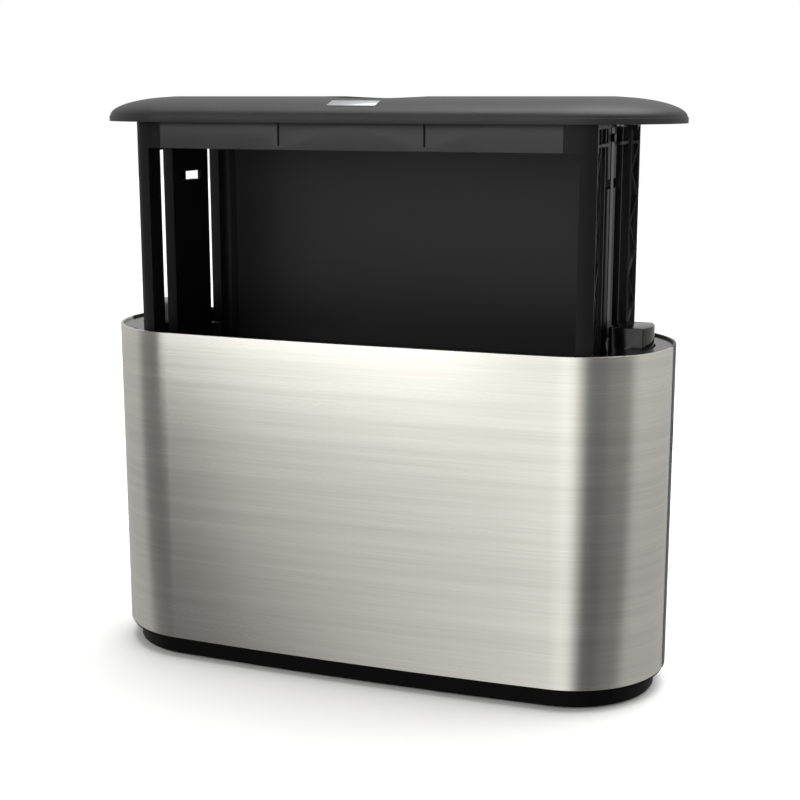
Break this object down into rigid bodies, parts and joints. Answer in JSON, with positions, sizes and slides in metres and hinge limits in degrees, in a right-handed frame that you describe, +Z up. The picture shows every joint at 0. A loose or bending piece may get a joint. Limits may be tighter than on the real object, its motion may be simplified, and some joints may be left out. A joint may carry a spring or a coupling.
{
  "type": "paper towel dispenser",
  "caption": "Countertop dispenser for folded paper towels: brushed steel front, dark domed lid raised on its carrier, and a spring-drawn towel lifter inside.",
  "frame": {"origin": "on the surface it stands on, under the middle of the base", "axes": "+X to the right along the long side, +Y from the steel front to the back cover, +Z up"},
  "size_m": [0.327, 0.117, 0.318],
  "materials": {
    "brushed_steel": "horizontal brush",
    "dark_plastic": "satin",
    "charcoal_plastic": "fine grain",
    "black_plastic": "matte",
    "grey_plastic": "matte",
    "foot_rubber": "matte",
    "spring_steel": "rolled",
    "screw_steel": "zinc plated",
    "acetal": "moulded",
    "clear_lens": "smoked"
  },
  "bodies": {
    "housing": {"front_shell": "brushed_steel", "back_cover": "charcoal_plastic", "inner_sleeve": "grey_plastic", "top_deck": "grey_plastic", "base_tray": "black_plastic", "rubber_feet": "foot_rubber", "base_pins": "screw_steel", "deck_screws": "screw_steel", "left_seam_strip": "black_plastic", "left_level_lens": "clear_lens", "left_guide_posts": "grey_plastic", "right_seam_strip": "black_plastic", "right_level_lens": "clear_lens", "right_guide_posts": "grey_plastic"},
    "carrier": {"carrier_back_panel": "dark_plastic", "carrier_front_beam": "dark_plastic", "carrier_bottom_tie": "dark_plastic", "lid": "dark_plastic", "lid_liner": "dark_plastic", "dispensing_throat": "dark_plastic", "lid_screws": "screw_steel", "frame_screws": "screw_steel", "left_carrier_end_frame": "dark_plastic", "left_ribbon_anchor_screw": "screw_steel", "left_spring_ribbon": "spring_steel", "right_carrier_end_frame": "dark_plastic", "right_ribbon_anchor_screw": "screw_steel", "right_spring_ribbon": "spring_steel"},
    "lifter": {"lifter_platform": "dark_plastic", "left_spring_casing": "dark_plastic", "left_casing_cap": "dark_plastic", "left_drum_axle": "screw_steel", "right_spring_casing": "dark_plastic", "right_casing_cap": "dark_plastic", "right_drum_axle": "screw_steel"},
    "left_reel": {"left_spring_drum": "acetal", "left_spring_coil": "spring_steel"},
    "right_reel": {"right_spring_drum": "acetal", "right_spring_coil": "spring_steel"}
  },
  "joints": [
    {"name": "carrier_lift", "type": "slide", "parent": "housing", "child": "carrier", "axis": [0, 0, 1], "range_m": [-0.114, 0]},
    {"name": "lifter_rise", "type": "slide", "parent": "carrier", "child": "lifter", "axis": [0, 0, 1], "range_m": [0, 0.096], "deforming": ["left_spring_ribbon", "right_spring_ribbon"]},
    {"name": "left_reel_spin", "type": "hinge", "parent": "lifter", "child": "left_reel", "pos_m": [-0.13405, 0, 0.1895], "axis": [0, 1, 0], "range_deg": [0, 650]},
    {"name": "right_reel_spin", "type": "hinge", "parent": "lifter", "child": "right_reel", "pos_m": [0.13405, 0, 0.1895], "axis": [0, 1, 0], "range_deg": [-650, 0]}
  ],
  "couplings": [
    {"joint": "left_reel_spin", "follows": "lifter_rise", "rad_per_m": 117.65},
    {"joint": "right_reel_spin", "follows": "lifter_rise", "rad_per_m": -117.65}
  ]
}
